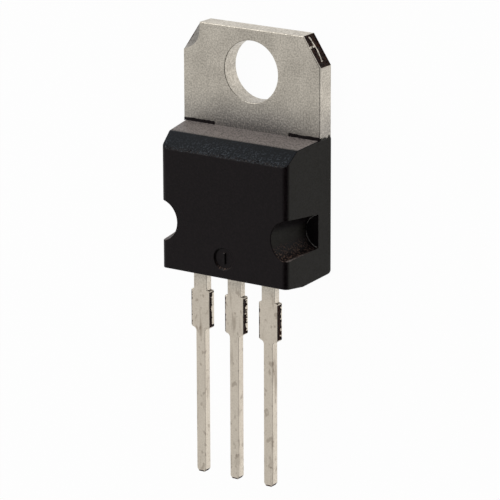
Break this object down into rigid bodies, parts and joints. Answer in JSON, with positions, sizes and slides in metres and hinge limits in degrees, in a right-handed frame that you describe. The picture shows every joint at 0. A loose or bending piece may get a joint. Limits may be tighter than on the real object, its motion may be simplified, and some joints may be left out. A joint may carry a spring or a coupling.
{
  "type": "ultrafast rectifier diode",
  "caption": "Dual common-cathode ultrafast rectifier in a flat black moulding with a bolt-down metal tab, half-round side notches and three flat leads in a row.",
  "frame": {"origin": "centre of the tab's hole, on the mounting face (the back of the tab)", "axes": "+Z out of the front face, away from the heatsink; +Y along the part to the top of the tab, with the leads running to -Y; +X to the right as the front is seen with the tab up"},
  "size_m": [0.0102, 0.0287, 0.0044],
  "materials": {
    "black_moulding": "satin black moulding compound, slightly reddish black",
    "plated_copper": "satin matte-tin plating over copper, warm light grey",
    "solder": "dull soft solder",
    "silicon": "polished dark grey silicon",
    "aluminium_wire": "drawn aluminium wire"
  },
  "bodies": {
    "root": {"moulded_body": "black_moulding", "tab_and_centre_lead": "plated_copper", "left_anode_lead": "plated_copper", "right_anode_lead": "plated_copper", "left_chip_solder": "solder", "right_chip_solder": "solder", "left_diode_chip": "silicon", "right_diode_chip": "silicon", "left_inner_bond_wire": "aluminium_wire", "left_outer_bond_wire": "aluminium_wire", "right_inner_bond_wire": "aluminium_wire", "right_outer_bond_wire": "aluminium_wire"}
  },
  "joints": []
}
